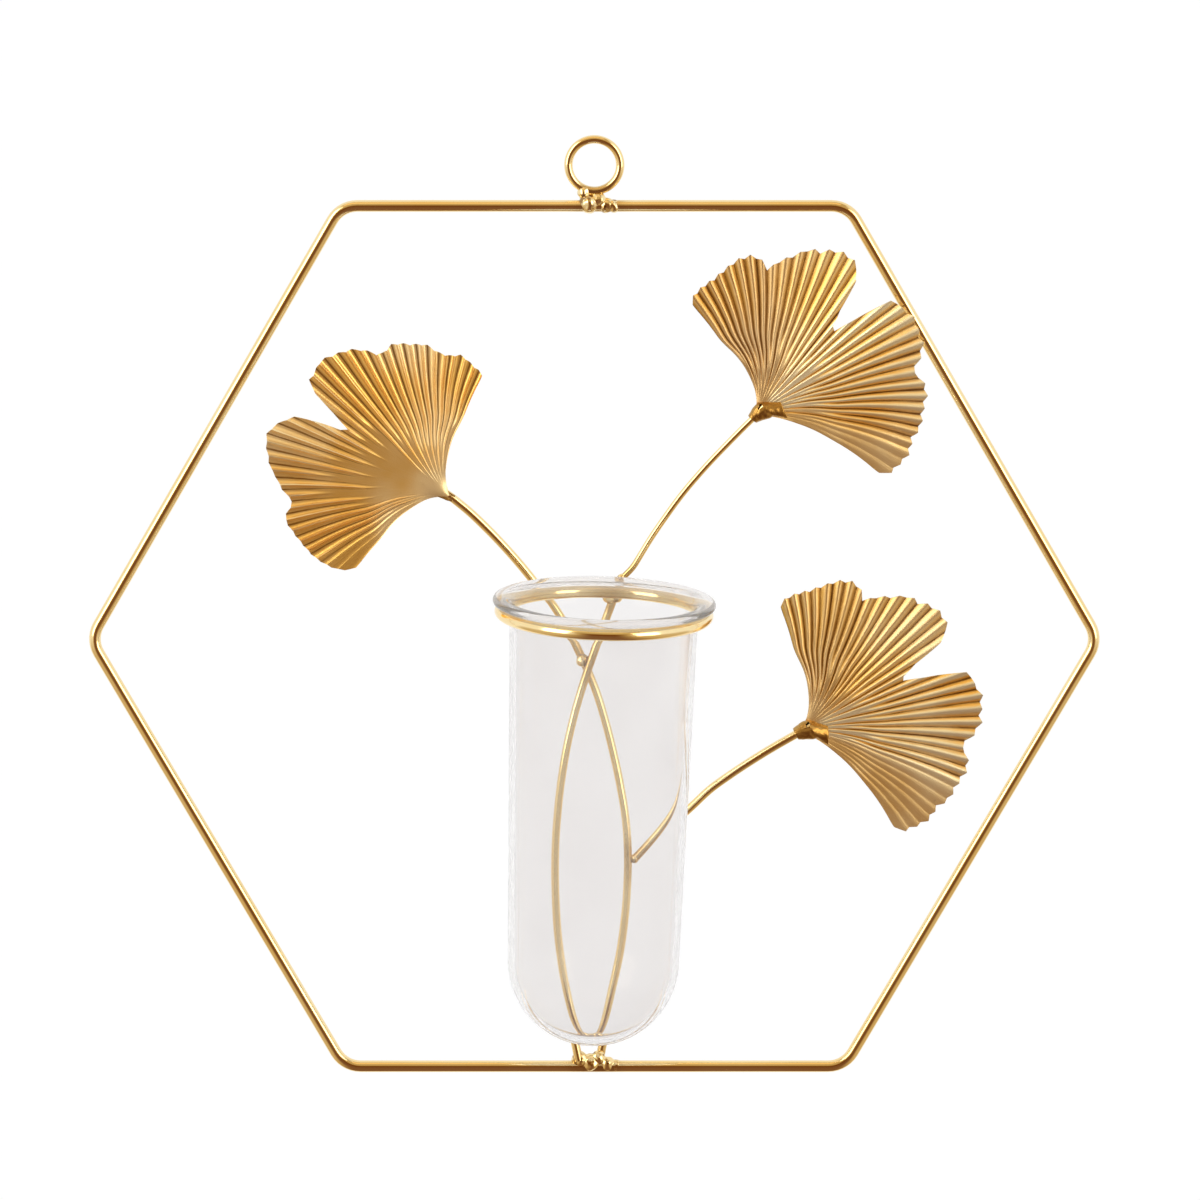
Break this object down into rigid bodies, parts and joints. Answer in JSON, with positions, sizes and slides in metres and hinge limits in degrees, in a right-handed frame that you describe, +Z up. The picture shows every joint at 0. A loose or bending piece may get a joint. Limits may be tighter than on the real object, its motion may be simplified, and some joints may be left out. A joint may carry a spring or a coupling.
{
  "type": "hanging wall vase",
  "caption": "Hanging wall vase: a round-bottomed glass tube stands in a wire hoop on a hexagonal gold wire frame, with curved stems and pleated ginkgo leaves.",
  "frame": {"origin": "centre of the hanging eye's hole", "axes": "+Z up, -Y to the room, +Y to the wall, +X to the right for somebody who faces the wall"},
  "size_m": [0.3008, 0.0727, 0.2827],
  "materials": {
    "gold_wire": "satin",
    "gold_weld": "satin, lumpy",
    "gold_leaf": "satin",
    "clear_glass": "clear, polished"
  },
  "bodies": {
    "holder": {"hex_frame": "gold_wire", "hanging_eye": "gold_wire", "left_stem": "gold_wire", "right_stem": "gold_wire", "vase_ring": "gold_wire", "upper_petiole": "gold_wire", "lower_petiole": "gold_wire", "eye_weld": "gold_weld", "foot_weld": "gold_weld", "crossing_weld": "gold_weld", "ring_weld": "gold_weld", "upper_petiole_weld": "gold_weld", "lower_petiole_weld": "gold_weld", "left_leaf": "gold_leaf", "upper_right_leaf": "gold_leaf", "lower_right_leaf": "gold_leaf", "left_leaf_socket": "gold_leaf", "upper_right_leaf_socket": "gold_leaf", "lower_right_leaf_socket": "gold_leaf"},
    "tube": {"glass_tube": "clear_glass"}
  },
  "joints": [
    {"name": "tube_lift", "type": "slide", "parent": "holder", "child": "tube", "axis": [0.0297, -0.0436, 0.9986], "range_m": [0, 0.14]}
  ]
}
